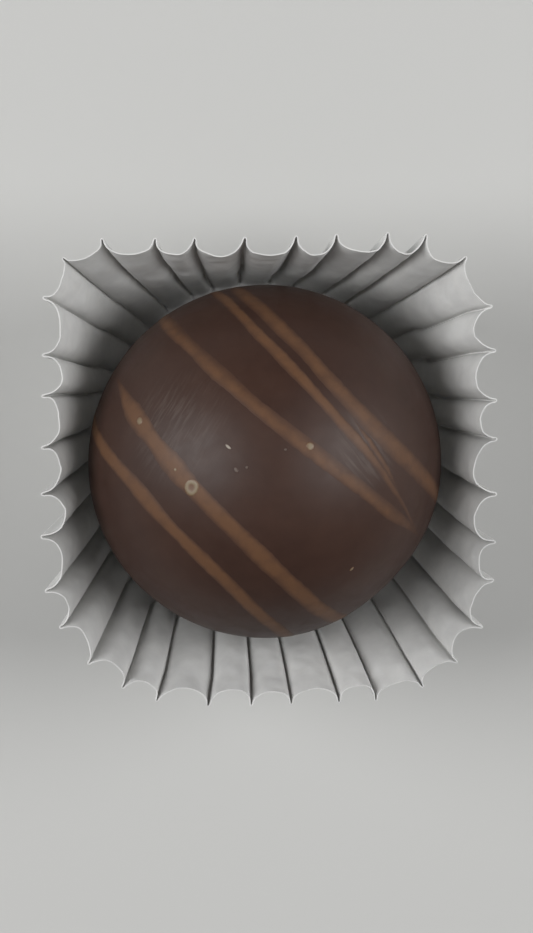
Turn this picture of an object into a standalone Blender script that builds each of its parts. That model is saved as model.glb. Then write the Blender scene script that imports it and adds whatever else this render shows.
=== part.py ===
"""A chocolate truffle in its fluted paper case.

The truffle is a rolled ball with a small flat foot. The case is one disc of paper,
pleated up round a circular floor into 36 flutes, whose mouth was pressed into a
rounded square by the tray cell it came in. Metres, +Z up, the case's floor on z = 0,
origin under the middle of the mouth.
"""

import math

import bmesh
import bpy
from mathutils import Vector

# The ball
BALL_RADIUS = 0.0137
BALL_LENGTHENING = 0.008  # share by which it is longer along Y than along X
FOOT_RADIUS = 0.0048  # the flat that it stands on
FOOT_ROUNDING = 0.0004
LUMP_HEIGHT = 0.00010  # how uneven hand rolling leaves it
DENT_DEPTH = 0.00035  # the side it lay on while it set
DENT_SPREAD = 0.006
DENT_DIRECTION = Vector((0.66, -0.72, 0.22)).normalized()
BALL_SEGMENTS = 56
BALL_RINGS = 28

# The paper case
BASE_RADIUS = 0.0125
MOUTH_HALF_WIDTH = 0.0175  # along X, out to the flutes' outer edges
MOUTH_HALF_LENGTH = 0.01845  # along Y
CORNER_RADII = (0.0073, 0.0057, 0.0120, 0.0094)  # at 45, 135, 225 and 315 degrees
WALL_SLANT = 0.0195  # from the fold round the floor up to the rim, along the paper
FLUTES_PER_SIDE = 9
FLUTE_DEPTH = 0.00155
CORNER_FLATTENING = 0.25  # share of the depth that the flutes lose in the corners
PAPER = 0.00035  # the sheet, thicker than the real paper so that it is a sound solid
GAP = 0.0003

# How finely the case's wall is divided
FLUTE_STEPS = (0.0, 0.1, 0.3, 0.5, 0.7, 0.9)  # across one flute, from one edge to the next
WALL_STEPS = (0.0, 0.33, 0.67, 1.0)  # from the floor up to the rim


def clear_scene():
    for old in list(bpy.data.objects):
        bpy.data.objects.remove(old, do_unlink=True)


def make_material(name, colour, roughness):
    material = bpy.data.materials.new(name)
    material.use_nodes = True
    shader = material.node_tree.nodes["Principled BSDF"]
    shader.inputs["Base Color"].default_value = (*colour, 1.0)
    shader.inputs["Roughness"].default_value = roughness
    shader.inputs["Metallic"].default_value = 0.0
    return material


def add_object(name, mesh_builder, material):
    mesh = bpy.data.meshes.new(name)
    mesh_builder.normal_update()
    mesh_builder.to_mesh(mesh)
    mesh_builder.free()
    mesh.materials.append(material)
    mesh.shade_smooth()
    mesh.set_sharp_from_angle(angle=math.radians(40))
    obj = bpy.data.objects.new(name, mesh)
    bpy.context.scene.collection.objects.link(obj)
    return obj


def ball_lump(direction):
    """Low, broad unevenness of the ball's surface, from -1 to 1."""
    x, y, z = direction
    return (
        math.sin(3.1 * x + 1.7 * y + 0.4)
        + math.sin(2.3 * y - 2.9 * z + 1.9)
        + math.sin(2.7 * z + 3.3 * x - 0.8)
    ) / 3


def ball_radius(direction):
    """Distance from the ball's centre to its surface, this way."""
    off_dent = (direction - DENT_DIRECTION).length * BALL_RADIUS
    dent = DENT_DEPTH * math.exp(-((off_dent / DENT_SPREAD) ** 2))
    return BALL_RADIUS + LUMP_HEIGHT * ball_lump(direction) - dent


def soft_floor(height, floor):
    """Height kept above the floor, with a rounded turn where the two meet."""
    above = height - floor
    return floor + (above + math.sqrt(above * above + FOOT_ROUNDING**2)) / 2


def build_truffle():
    shape = bmesh.new()
    bmesh.ops.create_uvsphere(shape, u_segments=BALL_SEGMENTS, v_segments=BALL_RINGS, radius=1.0)
    foot = -math.sqrt(BALL_RADIUS**2 - FOOT_RADIUS**2)
    for vertex in shape.verts:
        direction = vertex.co.normalized()
        point = direction * ball_radius(direction)
        point.y *= 1 + BALL_LENGTHENING
        point.z = soft_floor(point.z, foot)
        vertex.co = point
    lowest = min(vertex.co.z for vertex in shape.verts)
    stands_at = PAPER + GAP
    bmesh.ops.translate(shape, verts=shape.verts, vec=(0, 0, stands_at - lowest))
    chocolate = make_material("chocolate", (0.05, 0.027, 0.021), 0.4)
    return add_object("truffle", shape, chocolate)


def turned(angle):
    return Vector((math.cos(angle), math.sin(angle)))


def mouth_point(side, along):
    """Point on the rounded square of the mouth, and the angle that it faces.

    Side 0 is the one at +Y, and the sides follow anticlockwise. Along runs from 0 in
    the middle of the side's first corner to 1 in the middle of its second.
    """
    facing = math.radians(90 * (side + 1))
    outward, onward = turned(facing), turned(facing + math.pi / 2)
    first, second = CORNER_RADII[side], CORNER_RADII[(side + 1) % 4]
    if side % 2:
        reach, half_side = MOUTH_HALF_WIDTH, MOUTH_HALF_LENGTH
    else:
        reach, half_side = MOUTH_HALF_LENGTH, MOUTH_HALF_WIDTH
    first_arc, second_arc = first * math.pi / 4, second * math.pi / 4
    straight = 2 * half_side - first - second
    walked = along * (first_arc + straight + second_arc)
    if walked < first_arc:
        angle = facing - math.pi / 4 + walked / first
        centre = outward * (reach - first) - onward * (half_side - first)
        return centre + turned(angle) * first, angle
    if walked <= first_arc + straight:
        travelled = walked - first_arc - (half_side - first)
        return outward * reach + onward * travelled, facing
    angle = facing + (walked - first_arc - straight) / second
    centre = outward * (reach - second) + onward * (half_side - second)
    return centre + turned(angle) * second, angle


def flute_shift(flute):
    """How far a flute's edge stands off its even place, in flutes."""
    return 0.09 * math.sin(2.4 * flute + 0.6) + 0.06 * math.sin(5.1 * flute + 2.0)


def flute_fullness(flute):
    """How deep this flute is for its place, about 1."""
    return 1 + 0.12 * math.sin(1.9 * flute + 0.3) + 0.06 * math.sin(4.3 * flute)


def wall_point(flute, across, up):
    """Point on the wall's outer face, and the direction from it towards the inside.

    Flutes are counted from the corner at 45 degrees. Across runs from 0 to 1 between
    the flute's sharp outer edges, and up from 0 at the floor to 1 at the rim. Every
    line up the wall is straight, because paper folds but doesn't stretch.
    """
    side, flute_on_side = divmod(flute, FLUTES_PER_SIDE)
    shift = flute_shift(flute) * (1 - across) + flute_shift(flute + 1) * across
    at_corner = 0 if flute_on_side + across in (0, FLUTES_PER_SIDE) else shift
    along = (flute_on_side + across + at_corner) / FLUTES_PER_SIDE
    edge, facing = mouth_point(side, min(max(along, 0), 1))
    inward = -turned(facing)
    cornerness = abs(2 * along - 1) ** 6
    depth = FLUTE_DEPTH * flute_fullness(flute) * (1 - CORNER_FLATTENING * cornerness)
    bulge = math.sqrt(1 - (2 * across - 1) ** 2)
    rim = edge + inward * depth * bulge

    base_angle = math.radians(45 + 90 * (side + along))
    base = turned(base_angle) * BASE_RADIUS
    rim_height = math.sqrt(WALL_SLANT**2 - (rim - base).length_squared)
    flat = base.lerp(rim, up)
    inward_here = (-turned(base_angle)).lerp(inward, up).normalized()
    return flat.to_3d() + Vector((0, 0, rim_height * up)), inward_here.to_3d()


def wall_ring(shape, up, inside):
    """One closed ring of the wall, on its outer face or on its inner one."""
    ring = []
    for flute in range(4 * FLUTES_PER_SIDE):
        for across in FLUTE_STEPS:
            point, inward = wall_point(flute, across, up)
            if inside:
                point += inward * PAPER
                point.z = max(point.z, PAPER)
            ring.append(shape.verts.new(point))
    return ring


def join_rings(shape, lower, upper):
    """Faces between two rings, facing out when both go anticlockwise, lower one first."""
    count = len(lower)
    for i in range(count):
        j = (i + 1) % count
        shape.faces.new((lower[i], lower[j], upper[j], upper[i]))


def close_ring(shape, ring, height):
    """A flat round of triangles across a ring, which it meets anticlockwise."""
    middle = shape.verts.new((0, 0, height))
    for i, vertex in enumerate(ring):
        shape.faces.new((vertex, ring[(i + 1) % len(ring)], middle))


def build_case():
    shape = bmesh.new()
    rings = [wall_ring(shape, up, inside=False) for up in WALL_STEPS]
    rings += [wall_ring(shape, up, inside=True) for up in reversed(WALL_STEPS)]
    for lower, upper in zip(rings, rings[1:]):
        join_rings(shape, lower, upper)
    close_ring(shape, rings[0][::-1], 0)
    close_ring(shape, rings[-1], PAPER)
    paper = make_material("white_paper", (0.75, 0.75, 0.74), 0.8)
    return add_object("paper_case", shape, paper)


clear_scene()
build_truffle()
build_case()
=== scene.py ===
import math

import bmesh
import bpy
import numpy as np
from mathutils import Matrix, Vector, noise


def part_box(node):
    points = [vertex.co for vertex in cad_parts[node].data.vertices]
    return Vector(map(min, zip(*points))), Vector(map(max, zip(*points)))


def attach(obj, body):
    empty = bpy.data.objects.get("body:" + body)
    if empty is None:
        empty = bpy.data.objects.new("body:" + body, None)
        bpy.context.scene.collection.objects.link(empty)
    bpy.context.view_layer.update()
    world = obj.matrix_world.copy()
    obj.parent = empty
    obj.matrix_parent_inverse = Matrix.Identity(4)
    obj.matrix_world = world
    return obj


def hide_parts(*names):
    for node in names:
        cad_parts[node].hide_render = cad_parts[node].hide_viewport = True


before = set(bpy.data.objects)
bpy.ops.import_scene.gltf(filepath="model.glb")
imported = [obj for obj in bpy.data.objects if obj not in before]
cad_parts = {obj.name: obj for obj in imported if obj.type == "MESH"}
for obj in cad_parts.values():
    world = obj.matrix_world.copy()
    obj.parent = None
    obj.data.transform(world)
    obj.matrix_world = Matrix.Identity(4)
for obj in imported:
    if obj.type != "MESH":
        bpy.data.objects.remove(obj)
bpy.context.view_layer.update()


# ---- The ball ------------------------------------------------------------------
# A ball of ganache rolled by hand and dipped in dark milk chocolate. It was set down
# while soft, so it has a small flat foot and one faint dent low on a side. The skin is
# smooth with a low satin gloss, broken by a few rub marks from its neighbours. Where the
# side lamps' highlights fall they are painted pale grey: wear, with painted sheen in it.
MM = 0.001
BALL_RADIUS = 13.7 * MM
BALL_LENGTHENING = 0.008  # share by which it is longer along Y than along X
FOOT_RADIUS = 4.8 * MM
FOOT_ROUNDING = 0.4 * MM
LUMP_HEIGHT = 0.10 * MM  # broad unevenness left by rolling
DENT_DEPTH = 0.35 * MM
DENT_SPREAD = 6.0 * MM
DENT_DIRECTION = Vector((0.66, -0.72, 0.22)).normalized()
DRIZZLE_ROOM = 0.07 * MM  # the skin lies this far inside the ball's full size
COAT_WAVES = 0.018 * MM  # how unevenly the dipped coat ran
COAT_WAVE_SIZE = 3.2 * MM

CHOCOLATE_DARK = (52, 32, 24)
CHOCOLATE_LIGHT = (60, 39, 30)
# Pale grey of the rub marks: wear, and painted sheen of the side lamps' highlights.
RUB_AND_SHEEN_GREY = (108, 98, 92)
BROAD_CLOUDS = 9.0 * MM  # the size of the coat's large patches of colour
BLOTCHES = 1.4 * MM  # and of its small ones
SATIN_PATCHES = 1.9 * MM
CHOCOLATE_IOR = 1.40

# The rubbed places. They lie where the side lamps' highlights fall, and their pale colour
# is painted sheen as well as wear. The middle is laid off from the ball's top along its
# skin, in millimetres to the right and to the back. The width is that of one rub.
LEFT_RUBS_AND_SHEEN = dict(middle=(-8.2, 5.2), reach=5.0 * MM, slant=math.radians(58),
                 width=0.17 * MM, strength=0.70)
RIGHT_RUBS_AND_SHEEN = dict(middle=(7.6, 3.3), reach=3.4 * MM, slant=math.radians(-52),
                  width=0.24 * MM, strength=1.50)
RUB_STRETCH = Vector((11, 1, 5))  # a rub's length, width and depth, in widths


def linear(colour):
    """A colour given as 0 to 255 per channel, as the light it stands for."""
    shares = [channel / 255 for channel in colour]
    return tuple(s / 12.92 if s <= 0.04045 else ((s + 0.055) / 1.055) ** 2.4 for s in shares)


def rolled_radius(direction):
    """Distance from the ball's centre to the rolled ball's surface, this way."""
    x, y, z = direction
    lump = (
        math.sin(3.1 * x + 1.7 * y + 0.4)
        + math.sin(2.3 * y - 2.9 * z + 1.9)
        + math.sin(2.7 * z + 3.3 * x - 0.8)
    ) / 3
    off_dent = (direction - DENT_DIRECTION).length * BALL_RADIUS
    dent = DENT_DEPTH * math.exp(-((off_dent / DENT_SPREAD) ** 2))
    return BALL_RADIUS + LUMP_HEIGHT * lump - dent


ball_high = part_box("truffle")[1]
BALL_CENTRE = Vector((0, 0, ball_high.z - rolled_radius(Vector((0, 0, 1)))))
FOOT_HEIGHT = -math.sqrt(BALL_RADIUS**2 - FOOT_RADIUS**2)


def on_ball(direction, proud=0.0):
    """The point of the coated skin that lies this way from the ball's centre."""
    direction = direction.normalized()
    waves = noise.noise(direction * (BALL_RADIUS / COAT_WAVE_SIZE))
    waves += 0.5 * noise.noise(direction * (2.3 * BALL_RADIUS / COAT_WAVE_SIZE))
    radius = rolled_radius(direction) - DRIZZLE_ROOM + COAT_WAVES * waves + proud
    point = direction * radius
    point.y *= 1 + BALL_LENGTHENING
    above = point.z - FOOT_HEIGHT
    point.z = FOOT_HEIGHT + (above + math.sqrt(above * above + FOOT_ROUNDING**2)) / 2
    return point + BALL_CENTRE


def add_mesh(name, shape, material, sharp_angle=60):
    """A piece of this shape and material, smooth but for edges sharper than the angle."""
    mesh = bpy.data.meshes.new(name)
    shape.normal_update()
    shape.to_mesh(mesh)
    shape.free()
    mesh.materials.append(material)
    mesh.shade_smooth()
    mesh.set_sharp_from_angle(angle=math.radians(sharp_angle))
    piece = bpy.data.objects.new(name, mesh)
    bpy.context.scene.collection.objects.link(piece)
    return piece


def new_material(name):
    """An empty material and its shader, ready for the nodes that feed it."""
    material = bpy.data.materials.new(name)
    material.use_nodes = True
    return material, material.node_tree.nodes["Principled BSDF"]


def add_node(material, kind, **settings):
    """A new node of this kind, with its settings."""
    node = material.node_tree.nodes.new(kind)
    for key, value in settings.items():
        setattr(node, key, value)
    return node


def join(material, out_socket, in_socket):
    material.node_tree.links.new(out_socket, in_socket)


def noise_pattern(material, size, detail=2.0, roughness=0.5, distortion=0.0):
    """Cloudy pattern in the object's own space, whose patches are about this size."""
    place = add_node(material, "ShaderNodeTexCoord")
    pattern = add_node(material, "ShaderNodeTexNoise")
    pattern.inputs["Scale"].default_value = 1 / size
    pattern.inputs["Detail"].default_value = detail
    pattern.inputs["Roughness"].default_value = roughness
    pattern.inputs["Distortion"].default_value = distortion
    join(material, place.outputs["Object"], pattern.inputs["Vector"])
    return pattern.outputs["Fac"]


def remapped(material, value, low, high, to_low, to_high):
    """The value, stretched from its first range to its second and held inside that."""
    node = add_node(material, "ShaderNodeMapRange")
    node.inputs["From Min"].default_value = low
    node.inputs["From Max"].default_value = high
    node.inputs["To Min"].default_value = to_low
    node.inputs["To Max"].default_value = to_high
    join(material, value, node.inputs["Value"])
    return node.outputs["Result"]


def mixed(material, share, first, second):
    """Colour that goes from the first to the second as share goes from 0 to 1."""
    node = add_node(material, "ShaderNodeMix", data_type="RGBA")
    join(material, share, node.inputs["Factor"])
    for socket, colour in ((node.inputs["A"], first), (node.inputs["B"], second)):
        if isinstance(colour, tuple):
            socket.default_value = (*colour, 1.0)
        else:
            join(material, colour, socket)
    return node.outputs["Result"]


def bumped(material, height, strength, distance, below=None):
    """Fine relief of this height, on top of the relief below if there is one."""
    node = add_node(material, "ShaderNodeBump")
    node.inputs["Strength"].default_value = strength
    node.inputs["Distance"].default_value = distance
    join(material, height, node.inputs["Height"])
    if below is not None:
        join(material, below, node.inputs["Normal"])
    return node.outputs["Normal"]


def from_top(place):
    """Direction of a place laid off from the ball's top along its skin."""
    walked = place.length
    if walked == 0:
        return Vector((0, 0, 1))
    down = walked / BALL_RADIUS
    across = place / walked * math.sin(down)
    return Vector((across.x, across.y, math.cos(down)))


def worked(material, operation, first, second):
    """The result of one sum on two values, each a socket or a plain number."""
    node = add_node(material, "ShaderNodeMath", operation=operation)
    for socket, value in zip(node.inputs, (first, second)):
        if isinstance(value, (int, float)):
            socket.default_value = value
        else:
            join(material, value, socket)
    return node.outputs["Value"]


def rub_and_sheen_patch(material, middle, reach, slant, width, strength):
    """Mask of fine slanting rub marks in one patch, strongest in its middle: wear plus painted
    sheen.
    """
    place = add_node(material, "ShaderNodeTexCoord")
    away = add_node(material, "ShaderNodeVectorMath", operation="DISTANCE")
    join(material, place.outputs["Object"], away.inputs[0])
    away.inputs[1].default_value = on_ball(from_top(Vector(middle) * MM))
    patch = remapped(material, away.outputs["Value"], 0.2 * reach, reach, strength, 0.0)
    drawn = add_node(material, "ShaderNodeMapping", vector_type="TEXTURE")
    drawn.inputs["Rotation"].default_value = (0, 0, slant)
    drawn.inputs["Scale"].default_value = RUB_STRETCH * width
    join(material, place.outputs["Object"], drawn.inputs["Vector"])
    streaks = add_node(material, "ShaderNodeTexNoise")
    streaks.inputs["Scale"].default_value = 1.0
    streaks.inputs["Detail"].default_value = 2.0
    join(material, drawn.outputs["Vector"], streaks.inputs["Vector"])
    lines = remapped(material, streaks.outputs["Fac"], 0.46, 0.74, 0.0, 1.0)
    return worked(material, "MULTIPLY", patch, lines)


def make_chocolate():
    material, shader = new_material("chocolate_coat")
    broad = noise_pattern(material, BROAD_CLOUDS)
    blotches = noise_pattern(material, BLOTCHES, detail=4.0, roughness=0.6)
    clouds = worked(material, "ADD", broad, worked(material, "MULTIPLY", blotches, 0.6))
    share = remapped(material, clouds, 0.60, 1.0, 0.0, 1.0)
    colour = mixed(material, share, linear(CHOCOLATE_DARK), linear(CHOCOLATE_LIGHT))
    left_rubs_and_sheen = rub_and_sheen_patch(material, **LEFT_RUBS_AND_SHEEN)
    right_rubs_and_sheen = rub_and_sheen_patch(material, **RIGHT_RUBS_AND_SHEEN)
    rubs_and_sheen = worked(material, "ADD", left_rubs_and_sheen, right_rubs_and_sheen)
    # Rub marks mixed in pale grey: wear, and painted sheen where the side highlights fall.
    colour = mixed(material, worked(material, "MULTIPLY", rubs_and_sheen, 0.45), colour, linear(RUB_AND_SHEEN_GREY))
    join(material, colour, shader.inputs["Base Color"])
    satin = noise_pattern(
        material, SATIN_PATCHES, detail=4.0, roughness=0.6, distortion=1.0
    )
    satin = remapped(material, satin, 0.3, 0.7, 0.45, 0.53)
    rougher = worked(material, "ADD", satin, worked(material, "MULTIPLY", rubs_and_sheen, 0.1))
    join(material, rougher, shader.inputs["Roughness"])
    swell = bumped(material, noise_pattern(material, 2.4 * MM), 0.10, 0.10 * MM)
    skin = bumped(material, noise_pattern(material, 0.35 * MM), 0.05, 0.02 * MM, below=swell)
    skin = bumped(material, rubs_and_sheen, 0.25, 0.01 * MM, below=skin)
    join(material, skin, shader.inputs["Normal"])
    shader.inputs["IOR"].default_value = CHOCOLATE_IOR
    return material


chocolate = make_chocolate()
ball_shape = bmesh.new()
bmesh.ops.create_icosphere(ball_shape, subdivisions=7, radius=1.0)
for vertex in ball_shape.verts:
    vertex.co = on_ball(vertex.co)
ball = add_mesh("coated_ball", ball_shape, chocolate)
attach(ball, "root")
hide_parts("truffle")


# ---- The drizzle ---------------------------------------------------------------
# Five threads of caramel-coloured chocolate and one short strand, piped over the ball
# in slanting passes and settled while warm. Each is a low rounded strip that melts into
# the coat, thicker where the nozzle slowed and drawn out thin where it began or broke.
DRIZZLE_THICK = (94, 65, 44)
DRIZZLE_THIN = (75, 51, 37)
DRIZZLE_HEIGHT = 0.035 * MM
DRIZZLE_SINK = 0.04 * MM  # how far its hidden underside lies in the coat
EDGE_SINK = 0.010 * MM  # how far its edges lie in the coat, so that no gap shows
END_WIDTH = 0.30  # share of its width that a thread keeps at a tapered end
END_THICKNESS = 0.35
WANDER = 0.08 * MM  # how far a thread strays from its route
STEP_ALONG = 0.14 * MM
POINTS_ACROSS = 13

# A route's points are laid off from the ball's top along its skin, in millimetres
# to the right and to the back. Then come the full width, how full it was piped, how
# much of its length tapers at its start and at its end, how far its crest lies to its
# right, and the beads, each a place along it, a length and a share by which it swells.
DRIZZLES = {
    "drizzle_front_left": dict(
        route=((-25.5, 9.5), (-20.1, 4.9), (-13.0, 0.7), (-8.5, -3.0), (-5.1, -6.2),
               (-2.4, -9.4), (0.8, -14.4), (3.6, -21.0)),
        width=1.50, full=1.05, taper=(0.10, 0.12), crest=0.0, beads=((0.42, 0.05, 0.15),)),
    "drizzle_front": dict(
        route=((-16.2, 9.8), (-12.7, 6.4), (-9.2, 3.0), (-6.5, 0.4), (-4.4, -1.6),
               (-1.8, -4.2), (0.9, -7.2), (3.6, -10.5), (7.3, -15.4), (11.5, -22.0)),
        width=1.72, full=1.0, taper=(0.12, 0.10), crest=0.1,
        beads=((0.14, 0.04, 0.18), (0.27, 0.04, 0.28), (0.20, 0.03, -0.10))),
    "drizzle_middle": dict(
        route=((-15.5, 23.0), (-12.6, 18.4), (-7.9, 13.0), (-4.1, 9.3), (-1.1, 6.5),
               (2.6, 3.6), (5.6, 1.2), (9.5, -1.9), (13.8, -5.3), (15.2, -6.6)),
        width=1.60, full=0.76, taper=(0.08, 0.20), crest=-0.35,
        beads=((0.37, 0.06, 0.05), (0.62, 0.07, 0.15))),
    "drizzle_back_thin": dict(
        route=((-8.6, 26.0), (-6.3, 21.4), (-2.7, 15.2), (0.5, 10.9), (3.4, 7.4),
               (5.8, 4.6), (7.9, 2.3), (9.9, -0.3), (12.0, -3.1), (13.8, -5.4)),
        width=1.10, full=0.95, taper=(0.12, 0.35), crest=0.2, beads=((0.45, 0.08, 0.15),)),
    "drizzle_back": dict(
        route=((-4.6, 26.0), (-3.1, 20.2), (-0.6, 15.8), (2.3, 11.7), (5.1, 8.1),
               (8.1, 4.9), (11.2, 2.2), (16.3, -1.8), (22.0, -6.0)),
        width=1.65, full=0.80, taper=(0.16, 0.12), crest=0.1, beads=((0.66, 0.12, 0.28),)),
    "drizzle_strand": dict(
        route=((6.0, 6.0), (7.6, 3.8), (8.8, 2.1), (9.9, 0.4), (10.6, -0.9)),
        width=0.60, full=0.75, taper=(0.40, 0.40), crest=0.0, beads=()),
}


def smooth_route(points, step):
    """Points this far apart on one smooth curve through the given ones."""
    points = [Vector(p) * MM for p in points]
    ends = [2 * points[0] - points[1], *points, 2 * points[-1] - points[-2]]
    fine = []
    for before, start, end, after in zip(ends, ends[1:], ends[2:], ends[3:]):
        pieces = max(2, round((end - start).length / step))
        for i in range(pieces):
            t = i / pieces
            fine.append(
                0.5 * (2 * start + (end - before) * t
                       + (2 * before - 5 * start + 4 * end - after) * t**2
                       + (3 * start - before - 3 * end + after) * t**3)
            )
    return fine + [points[-1]]


def eased(value):
    """A soft step from 0 to 1, as the value goes from 0 to 1."""
    value = min(max(value, 0.0), 1.0)
    return value * value * (3 - 2 * value)


def add_drizzle(name, material, seed, route, width, full, taper, crest, beads):
    """One thread along its route, as a closed strip that lies on the coat."""
    shape = bmesh.new()
    film = shape.verts.layers.float.new("film")
    centres = [from_top(place) for place in smooth_route(route, STEP_ALONG)]
    rows = []
    for i, centre in enumerate(centres):
        along = i / (len(centres) - 1)
        onward = centres[min(i + 1, len(centres) - 1)] - centres[max(i - 1, 0)]
        sideways = centre.cross(onward).normalized()
        drawn = eased(along / taper[0]) * eased((1 - along) / taper[1])
        wander = noise.noise(Vector((along * 14, seed, 0.0)))
        swell = 1 + 0.16 * noise.noise(Vector((along * 11, seed, 5.0)))
        for where, reach, share in beads:
            swell += share * math.exp(-(((along - where) / reach) ** 2))
        half_width = width * MM / 2 * swell * (END_WIDTH + (1 - END_WIDTH) * drawn)
        row = []
        for j in range(POINTS_ACROSS):
            across = 2 * j / (POINTS_ACROSS - 1) - 1
            ragged = 0.10 * noise.noise(Vector((along * 70, seed, 9.0 + 3 * (across > 0))))
            off = half_width * across * (1 + ragged) + WANDER * wander
            level = 1 - (across - crest * (1 - across**2)) ** 2
            thickness = level * full * (END_THICKNESS + (1 - END_THICKNESS) * drawn)
            proud = DRIZZLE_HEIGHT * thickness - EDGE_SINK
            vertex = shape.verts.new(on_ball(centre + sideways * off / BALL_RADIUS, proud))
            vertex[film] = thickness
            row.append(vertex)
        rows.append(row)
    for row in rows:
        first, last = row[0].co, row[-1].co
        for j in range(POINTS_ACROSS - 2, 0, -1):
            sunk = first.lerp(last, j / (POINTS_ACROSS - 1)) - BALL_CENTRE
            under = BALL_CENTRE + sunk.normalized() * (sunk.length - DRIZZLE_SINK)
            row.append(shape.verts.new(under))
    for row, following in zip(rows, rows[1:]):
        for j in range(len(row)):
            k = (j + 1) % len(row)
            shape.faces.new((row[j], following[j], following[k], row[k]))
    shape.faces.new(rows[0])
    shape.faces.new(rows[-1][::-1])
    drizzle = add_mesh(name, shape, material)
    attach(drizzle, "root")
    return drizzle


def make_caramel():
    material, shader = new_material("caramel_drizzle")
    film = add_node(material, "ShaderNodeAttribute", attribute_name="film").outputs["Fac"]
    clouds = noise_pattern(material, 1.0 * MM, detail=4.0, roughness=0.6)
    uneven = remapped(material, clouds, 0.3, 0.7, -0.32, 0.28)
    body = remapped(material, worked(material, "ADD", film, uneven), 0.2, 0.95, 0.0, 1.0)
    strip = mixed(material, body, linear(DRIZZLE_THIN), linear(DRIZZLE_THICK))
    edge = remapped(material, film, 0.02, 0.75, 0.0, 1.0)
    colour = mixed(material, edge, linear(CHOCOLATE_LIGHT), strip)
    join(material, colour, shader.inputs["Base Color"])
    satin = noise_pattern(material, 1.1 * MM, detail=3.0)
    join(material, remapped(material, satin, 0.3, 0.7, 0.50, 0.58), shader.inputs["Roughness"])
    skin = bumped(material, noise_pattern(material, 0.5 * MM), 0.08, 0.03 * MM)
    join(material, skin, shader.inputs["Normal"])
    shader.inputs["IOR"].default_value = CHOCOLATE_IOR
    return material


caramel = make_caramel()
for seed, (name, facts) in enumerate(DRIZZLES.items()):
    add_drizzle(name, caramel, seed, **facts)


# ---- Bubbles, flecks and smears ------------------------------------------------
# Small air bubbles came up in the warm drizzle and set as pale dots, and one burst to a
# little crater. Two flecks of cocoa butter and crumb stick to the coat, beside three
# faint smears of drizzle.
BUBBLE_COLOUR = (118, 103, 80)
FLECK_COLOUR = (148, 139, 128)
SMEAR_COLOUR = (82, 68, 60)
SPOT_STANDS = 0.95 * DRIZZLE_HEIGHT  # how far out of the coat a spot's rim rises
SPOT_RINGS = 7
SPOT_SIDES = 28


def crater(share):
    """Height from 0 to 1 of a burst bubble, this share of the way out to its rim."""
    return math.exp(-(((share - 0.64) / 0.25) ** 2))


def dome(share):
    """The same for a whole bubble or a fleck."""
    return 1 - share**2


def turned(angle):
    """The way on the flat at this angle from the X axis."""
    return Vector((math.cos(angle), math.sin(angle)))


def add_spot(name, place, radius, height, profile, material, length=1.0, slant=0.0):
    """A small raised spot on the coat, round or drawn out one way."""
    middle = from_top(Vector(place) * MM)
    sideways = Vector((0, 1, 0)).cross(middle).normalized()
    onward = middle.cross(sideways)
    shape = bmesh.new()
    film = shape.verts.layers.float.new("film")
    rows = []
    for i in range(1, SPOT_RINGS + 1):
        share = i / SPOT_RINGS
        row = []
        for j in range(SPOT_SIDES):
            angle = 2 * math.pi * j / SPOT_SIDES
            wobble = 1 + 0.04 * math.sin(2 * angle + radius / MM * 9) + 0.03 * math.sin(3 * angle)
            flat = turned(angle) * radius * share * wobble
            flat.x *= length
            flat.rotate(Matrix.Rotation(slant, 2))
            direction = middle + (sideways * flat.x + onward * flat.y) / BALL_RADIUS
            proud = SPOT_STANDS + height * profile(share) if share < 1 else 0.0
            vertex = shape.verts.new(on_ball(direction, proud))
            vertex[film] = profile(share)
            row.append(vertex)
        rows.append(row)
    top = shape.verts.new(on_ball(middle, SPOT_STANDS + height * profile(0)))
    top[film] = profile(0)
    for j in range(SPOT_SIDES):
        k = (j + 1) % SPOT_SIDES
        shape.faces.new((top, rows[0][j], rows[0][k]))
        for row, following in zip(rows, rows[1:]):
            shape.faces.new((row[j], following[j], following[k], row[k]))
    shape.faces.new(rows[-1][::-1])
    spot = add_mesh(name, shape, material)
    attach(spot, "root")
    return spot


def make_spot_material(name, colour, under, roughness):
    """Colour that is fullest where a spot is thick and fades to what lies under it."""
    material, shader = new_material(name)
    film = add_node(material, "ShaderNodeAttribute", attribute_name="film").outputs["Fac"]
    clouds = remapped(material, noise_pattern(material, 0.25 * MM), 0.3, 0.7, -0.15, 0.15)
    pale = remapped(material, worked(material, "ADD", film, clouds), 0.1, 0.8, 0.0, 1.0)
    shade = mixed(material, pale, linear(under), linear(colour))
    join(material, shade, shader.inputs["Base Color"])
    shader.inputs["Roughness"].default_value = roughness
    return material


bubble_skin = make_spot_material("bubble_skin", BUBBLE_COLOUR, DRIZZLE_THICK, 0.45)
fleck_crumb = make_spot_material("fleck_crumb", FLECK_COLOUR, CHOCOLATE_LIGHT, 0.6)
smear_film = make_spot_material("smear_film", SMEAR_COLOUR, CHOCOLATE_LIGHT, 0.5)
add_spot("bubble_burst", (-6.5, 0.4), 0.64 * MM, 0.020 * MM, crater, bubble_skin)
add_spot("bubble_left", (-11.6, 5.5), 0.33 * MM, 0.020 * MM, dome, bubble_skin)
add_spot("bubble_right", (2.6, 3.6), 0.32 * MM, 0.020 * MM, dome, bubble_skin)
add_spot("fleck_pale", (-3.6, 3.6), 0.13 * MM, 0.015 * MM, dome, fleck_crumb,
         length=2.4, slant=math.radians(-38))
add_spot("smear_small", (-3.0, 1.9), 0.16 * MM, 0.006 * MM, dome, smear_film,
         length=1.6, slant=math.radians(-60))
add_spot("smear_round", (-2.2, 2.1), 0.12 * MM, 0.006 * MM, dome, smear_film)
add_spot("smear_middle", (0.7, 3.4), 0.12 * MM, 0.006 * MM, dome, smear_film)
add_spot("bubble_small", (-7.9, 1.7), 0.13 * MM, 0.012 * MM, dome, bubble_skin)
add_spot("fleck_tan", (6.4, -6.8), 0.11 * MM, 0.015 * MM, dome, bubble_skin,
         length=1.9, slant=math.radians(50))


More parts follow.
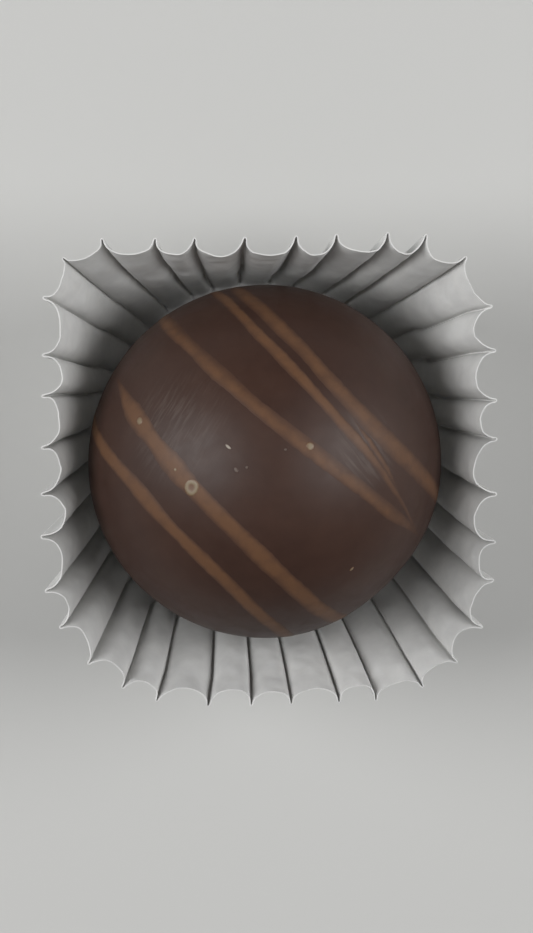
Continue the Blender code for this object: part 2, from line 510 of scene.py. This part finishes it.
# ---- The paper case ------------------------------------------------------------
# One disc of thin white baking paper, pressed up round a circular floor into 36
# flutes. Its mouth was squared by the tray cell it came in. The flutes bulge inwards
# between sharp outer folds, deepest at the rim, and the press left a crease round it.
case_low, case_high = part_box("paper_case")
BASE_RADIUS = 12.5 * MM
CORNER_RADII = (7.3 * MM, 5.7 * MM, 12.0 * MM, 9.4 * MM)  # at 45, 135, 225, 315 degrees
WALL_SLANT = 19.5 * MM
FLUTES_PER_SIDE = 9
FLUTES = 4 * FLUTES_PER_SIDE
FLUTE_DEPTH = 1.55 * MM
CORNER_FLATTENING = 0.25  # share of the depth that the flutes lose in the corners
PAPER = 0.09 * MM
FOLD_SHARE = 0.035  # how much of a flute each rounded fold takes up, to either side
FOLD_DEPTH = 0.12 * MM
TIP_SET_IN = 0.16 * MM  # how unevenly the folds' tips stand in from the mouth's outline
TIP_RISE = 0.22 * MM  # how unevenly high they stand
TIP_HOOK = 0.30 * MM  # how far a tip may curl aside
FLOOR_LIFT = 0.45 * MM  # the floor domes up to the ball's foot
FLOOR_PLEAT = 0.40 * MM  # the flutes run on a little way over the floor
FOOT_DEPTH = 0.60 * MM  # how far in a flute's middle stands at the floor's fold
PRESS_CREASE = 0.36  # how far up the wall the press's edge left its crease
CREASE_JOG = 0.16 * MM  # how far a fold jogs aside there
WALL_BELLY = 0.20 * MM  # how far the wall bows inwards between floor and rim
DENTS = 0.20 * MM  # how deep the flutes are dented, and how long the dents are
DENT_SIZE = 3.6 * MM
CREASES = 0.09 * MM
CREASE_SIZE = 2.6 * MM
MOUTH_INSET = 0.08 * MM  # room for half the sheet and for the curling tips
MOUTH_HALF = Vector((case_high.x - MOUTH_INSET, case_high.y - MOUTH_INSET))
PAPER_WHITE = (212, 212, 210)
PAPER_GREY = (198, 198, 197)

# How finely the sheet is divided
LOBE_POINTS = 20  # across one flute, between its folds
WALL_ROWS = 46
FLOOR_RINGS = 14
FOLD_ROUND = (0.985, 0.012)  # where the floor's last ring and the wall's first row lie


def mouth_point(side, along):
    """Point on the rounded square of the mouth, and the angle that it faces.

    Side 0 is the one at +Y, and the sides follow anticlockwise. Along runs from 0 in
    the middle of the side's first corner to 1 in the middle of its second.
    """
    facing = math.radians(90 * (side + 1))
    outward, onward = turned(facing), turned(facing + math.pi / 2)
    first, second = CORNER_RADII[side], CORNER_RADII[(side + 1) % 4]
    reach, half_side = (MOUTH_HALF.x, MOUTH_HALF.y) if side % 2 else (MOUTH_HALF.y, MOUTH_HALF.x)
    first_arc, second_arc = first * math.pi / 4, second * math.pi / 4
    straight = 2 * half_side - first - second
    walked = along * (first_arc + straight + second_arc)
    if walked < first_arc:
        angle = facing - math.pi / 4 + walked / first
        centre = outward * (reach - first) - onward * (half_side - first)
        return centre + turned(angle) * first, angle
    if walked <= first_arc + straight:
        travelled = walked - first_arc - (half_side - first)
        return outward * reach + onward * travelled, facing
    angle = facing + (walked - first_arc - straight) / second
    centre = outward * (reach - second) + onward * (half_side - second)
    return centre + turned(angle) * second, angle


def flute_shift(flute):
    """How far a flute's edge stands off its even place, in flutes."""
    return 0.09 * math.sin(2.4 * flute + 0.6) + 0.06 * math.sin(5.1 * flute + 2.0)


def flute_fullness(flute):
    """How deep this flute is for its place, about 1."""
    return 1 + 0.12 * math.sin(1.9 * flute + 0.3) + 0.06 * math.sin(4.3 * flute)


def chance(flute, kind):
    """A number from about -1 to 1 that belongs to this flute and this kind of fault."""
    return math.sin(12.9898 * (flute % FLUTES) + 78.233 * kind + 1.3)


def flute_section(flute):
    """Across and depth, from 0 to 1, of the points from one outer fold to the next."""
    skew = 0.10 * chance(flute, 3)
    boxiness = 0.85 + 0.18 * chance(flute, 4)
    section = [(0.0, 0.0, 0.0), (0.6 * FOLD_SHARE, 0.35, 0.0)]
    for i in range(LOBE_POINTS):
        turn = math.pi * (i + 0.15) / (LOBE_POINTS - 0.7)
        across = 0.5 - 0.5 * math.cos(turn)
        across += skew * math.sin(math.pi * across) ** 2
        section.append((FOLD_SHARE + (1 - 2 * FOLD_SHARE) * across, 1.0, math.sin(turn) ** boxiness))
    section.append((1 - 0.6 * FOLD_SHARE, 0.35, 0.0))
    return section


def wall_columns():
    """Each line up the wall: its foot, its rim, the way inside, and how deep it lies."""
    columns = []
    for flute in range(FLUTES):
        side, flute_on_side = divmod(flute, FLUTES_PER_SIDE)
        for across, fold, bulge in flute_section(flute):
            shift = flute_shift(flute) * (1 - across) + flute_shift(flute + 1) * across
            ends = flute_on_side + across
            shift *= eased(ends) * eased(FLUTES_PER_SIDE - ends)
            along = (flute_on_side + across + shift) / FLUTES_PER_SIDE
            edge, facing = mouth_point(side, along)
            cornerness = abs(2 * along - 1) ** 6
            depth = FLUTE_DEPTH * flute_fullness(flute) * (1 - CORNER_FLATTENING * cornerness)
            tip_set_in = TIP_SET_IN * (1 + chance(flute, 1)) * (1 - across)
            tip_set_in += TIP_SET_IN * (1 + chance(flute + 1, 1)) * across
            depth_here = tip_set_in + FOLD_DEPTH * fold + (depth - FOLD_DEPTH - tip_set_in) * bulge
            base_angle = math.radians(45 + 90 * (side + along))
            base_out = BASE_RADIUS - FOOT_DEPTH * bulge
            columns.append(dict(
                flute=flute, across=across, bulge=bulge,
                base=turned(base_angle) * base_out, base_inward=-turned(base_angle),
                rim=edge - turned(facing) * depth_here, rim_inward=-turned(facing),
                sideways=turned(facing + math.pi / 2),
            ))
    return columns


def wall_place(column, up):
    """Point of the wall's middle layer, this far up one of its lines."""
    flute, across = column["flute"], column["across"]
    run = column["rim"] - column["base"]
    rim_height = math.sqrt(WALL_SLANT**2 - run.length_squared)
    rim = Vector((column["rim"].x, column["rim"].y, 0))
    ragged = 0.14 * MM * noise.noise(rim / (0.9 * MM)) + 0.07 * MM * noise.noise(rim / (0.35 * MM))
    tip_height = TIP_RISE * (chance(flute, 6) * (1 - across) + chance(flute + 1, 6) * across)
    height = rim_height * up + (ragged + tip_height) * up**3
    flat = column["base"].lerp(column["rim"], up)
    inward = column["base_inward"].lerp(column["rim_inward"], up).normalized()
    near_fold = 1 - column["bulge"]
    nearest = flute + (1 if across > 0.5 else 0)
    crease_at = PRESS_CREASE + 0.05 * chance(nearest, 8)
    past_crease = math.tanh((up - crease_at) / 0.02)
    fade = up * (1 - up) * 4
    jog = CREASE_JOG * chance(nearest, 5) * past_crease * fade * near_fold
    hook = TIP_HOOK * chance(nearest, 7) ** 3 * eased((up - 0.78) / 0.22) * near_fold
    flat += column["sideways"] * (jog + hook)
    place = Vector((flat.x, flat.y, height))
    dents = DENTS * (noise.noise(place / DENT_SIZE) + 0.45 * noise.noise(place / (1.3 * MM)))
    creased = 1 - 6 * abs(noise.noise(place / CREASE_SIZE + Vector((7, 3, 1))))
    creases = CREASES * max(creased, 0.0)
    press = 0.03 * MM * past_crease * fade
    belly = WALL_BELLY * math.sin(math.pi * up)
    flat += inward * (column["bulge"] * up * (dents + creases) + press + belly)
    return Vector((flat.x, flat.y, height))


def floor_ring(columns, share):
    """A ring of the floor, this share of the way out to the fold round it."""
    ring = []
    for column in columns:
        pleat = FLOOR_PLEAT * column["bulge"] * eased((share - 0.62) / 0.25)
        pleat *= 1 - eased((share - 0.92) / 0.08)
        height = FLOOR_LIFT * (1 - share**2) + pleat + PAPER / 2
        flat = column["base"] * share
        ring.append(Vector((flat.x, flat.y, height)))
    return ring


def sheet_rows():
    """The paper's middle layer, ring by ring from near the floor's middle to the rim."""
    columns = wall_columns()
    floor_ends, wall_starts = FOLD_ROUND
    rows = [floor_ring(columns, (i + 1) / (FLOOR_RINGS + 1)) for i in range(FLOOR_RINGS)]
    rows.append(floor_ring(columns, floor_ends))
    for i in range(WALL_ROWS):
        up = wall_starts + (1 - wall_starts) * i / (WALL_ROWS - 1)
        row = [wall_place(column, up) for column in columns]
        lifted = 0.06 * MM * (1 - eased(up / 0.03))
        rows.append([place + Vector((0, 0, lifted)) for place in row])
    return np.array([[tuple(place) for place in row] for row in rows])


def build_case():
    """The sheet as a closed shell: its middle layer, thickened by half to either side."""
    middle = sheet_rows()
    onward = np.roll(middle, -1, axis=1) - np.roll(middle, 1, axis=1)
    upward = np.gradient(middle, axis=0)
    outward = np.cross(onward, upward)
    outward /= np.linalg.norm(outward, axis=2, keepdims=True)
    shape = bmesh.new()
    skins = []
    for way in (0.5, -0.5):
        layer = middle + outward * PAPER * way
        skins.append([[shape.verts.new(place) for place in row] for row in layer])
    outer, inner = skins
    around = len(outer[0])
    poles = [shape.verts.new((0, 0, FLOOR_LIFT + PAPER / 2 + PAPER * way)) for way in (-0.5, 0.5)]
    for i in range(around):
        j = (i + 1) % around
        shape.faces.new((outer[0][j], outer[0][i], poles[0]))
        shape.faces.new((inner[0][i], inner[0][j], poles[1]))
        shape.faces.new((outer[-1][i], outer[-1][j], inner[-1][j], inner[-1][i]))
    for lower, upper in zip(outer, outer[1:]):
        for i in range(around):
            j = (i + 1) % around
            shape.faces.new((lower[i], lower[j], upper[j], upper[i]))
    for lower, upper in zip(inner, inner[1:]):
        for i in range(around):
            j = (i + 1) % around
            shape.faces.new((lower[j], lower[i], upper[i], upper[j]))
    return add_mesh("fluted_case", shape, make_paper(), sharp_angle=75)


def make_paper():
    material, shader = new_material("baking_paper")
    mottling = noise_pattern(material, 2.2 * MM, detail=5.0, roughness=0.6)
    share = remapped(material, mottling, 0.3, 0.7, 0.0, 1.0)
    colour = mixed(material, share, linear(PAPER_GREY), linear(PAPER_WHITE))
    join(material, colour, shader.inputs["Base Color"])
    fibres = noise_pattern(material, 0.18 * MM, detail=3.0, roughness=0.7, distortion=2.0)
    cockle = noise_pattern(material, 1.1 * MM, detail=2.0)
    normal = bumped(material, cockle, 0.25, 0.06 * MM)
    normal = bumped(material, fibres, 0.20, 0.012 * MM, below=normal)
    join(material, normal, shader.inputs["Normal"])
    shader.inputs["Roughness"].default_value = 0.72
    shader.inputs["IOR"].default_value = 1.4
    shader.inputs["Subsurface Weight"].default_value = 0.08
    shader.inputs["Subsurface Radius"].default_value = (1.0, 0.95, 0.85)
    shader.inputs["Subsurface Scale"].default_value = 1.0 * MM
    return material


case = build_case()
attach(case, "root")
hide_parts("paper_case")


# ---- Table, lamps and camera ---------------------------------------------------
# A plain pale table top, and a camera almost straight above. Two tall soft lamps stand
# to the left and right, as on a copy stand, with weaker ones behind and in front.
FLOOR_COLOUR = (190, 190, 188)
LAMP_DISTANCE = 0.50
LAMPS = {  # the way to each lamp, its width, height and power
    "lamp_left": ((-0.76, 0.20, 0.65), 0.26, 0.54, 2.25),
    "lamp_right": ((0.76, 0.18, 0.65), 0.26, 0.54, 1.80),
    "lamp_back": ((0.62, 0.48, 0.62), 0.40, 0.40, 0.15),
    "lamp_front": ((0.0, -0.52, 0.85), 0.80, 0.80, 0.20),
}
FILL_STRENGTH = 0.11
CAMERA_DISTANCE = 300 * MM
SENSOR = 36  # the sensor's long side, as the camera counts it
MOUTH_SHARE = 0.87  # of the picture's width that the case's mouth fills
PICTURE_WIDTH, PICTURE_HEIGHT = 533, 933

table_shape = bmesh.new()
bmesh.ops.create_grid(table_shape, x_segments=1, y_segments=1, size=1.5)
table_paint, table_shader = new_material("table_top")
table_shader.inputs["Base Color"].default_value = (*linear(FLOOR_COLOUR), 1)
table_shader.inputs["Roughness"].default_value = 0.8
table = add_mesh("table_top", table_shape, table_paint)

for name, (way, width, height, power) in LAMPS.items():
    lamp_data = bpy.data.lights.new(name, "AREA")
    lamp_data.shape = "ELLIPSE"
    lamp_data.size = width
    lamp_data.size_y = height
    lamp_data.energy = power
    lamp = bpy.data.objects.new(name, lamp_data)
    way = Vector(way).normalized()
    lamp.location = BALL_CENTRE + way * LAMP_DISTANCE
    lamp.rotation_mode = "QUATERNION"
    lamp.rotation_quaternion = way.to_track_quat("Z", "Y")
    bpy.context.scene.collection.objects.link(lamp)

world = bpy.data.worlds.new("room")
world.use_nodes = True
world.node_tree.nodes["Background"].inputs["Color"].default_value = (1, 1, 1, 1)
world.node_tree.nodes["Background"].inputs["Strength"].default_value = FILL_STRENGTH
bpy.context.scene.world = world
bpy.context.scene.view_settings.view_transform = "Standard"

camera_data = bpy.data.cameras.new("camera")
camera_data.sensor_width = SENSOR
shown_width = (case_high.x - case_low.x) / MOUTH_SHARE
shown_height = shown_width * PICTURE_HEIGHT / PICTURE_WIDTH
camera_data.lens = SENSOR * (CAMERA_DISTANCE - (case_high.z - BALL_CENTRE.z)) / shown_height
camera_data.clip_start = 0.01
camera = bpy.data.objects.new("camera", camera_data)
lean_back, lean_left = math.radians(10.7), math.radians(3.6)
aim = Matrix.Rotation(-lean_left, 4, "Y") @ Matrix.Rotation(-lean_back, 4, "X")
aimed_at = BALL_CENTRE + Vector((0, 0, 2 * MM))
drawn_back = Matrix.Translation((0, 0, CAMERA_DISTANCE))
camera.matrix_world = Matrix.Translation(aimed_at) @ aim @ drawn_back
bpy.context.scene.collection.objects.link(camera)
bpy.context.scene.camera = camera
